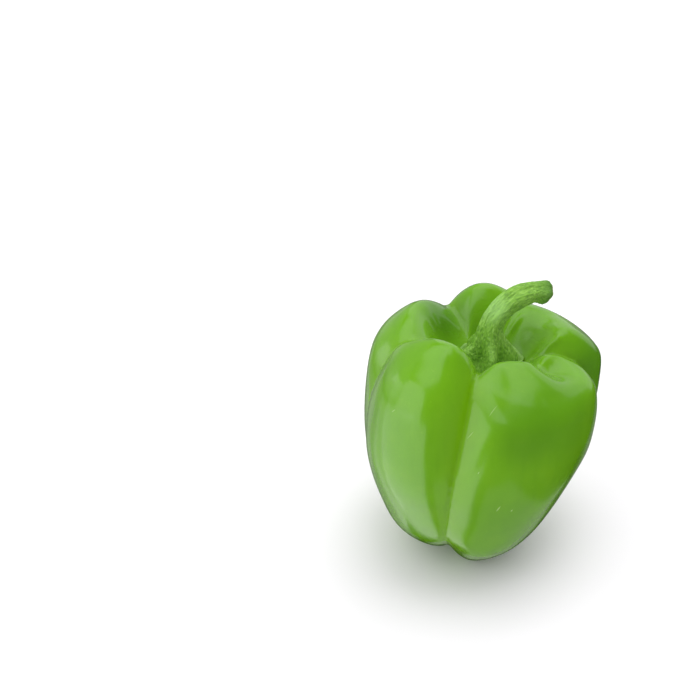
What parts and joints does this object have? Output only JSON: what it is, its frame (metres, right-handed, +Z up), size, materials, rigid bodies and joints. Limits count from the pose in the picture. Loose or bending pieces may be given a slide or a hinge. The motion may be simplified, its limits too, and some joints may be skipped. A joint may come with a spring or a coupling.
{
  "type": "bell pepper",
  "caption": "Green bell pepper as picked: broad rounded lobes with deep grooves round a hollow top, pointed calyx and a thick ribbed stem bent to one side.",
  "frame": {"origin": "on the surface that the pepper stands on, under the middle of its box", "axes": "+Z up from the foot to the stem, -Y towards the two broad front lobes, +X the way the stem bends"},
  "size_m": [0.0838, 0.0841, 0.1017],
  "materials": {
    "green_skin": "waxy gloss",
    "green_stem": "dull, ridged"
  },
  "bodies": {
    "root": {"fruit": "green_skin", "stem_with_calyx": "green_stem"}
  },
  "joints": []
}
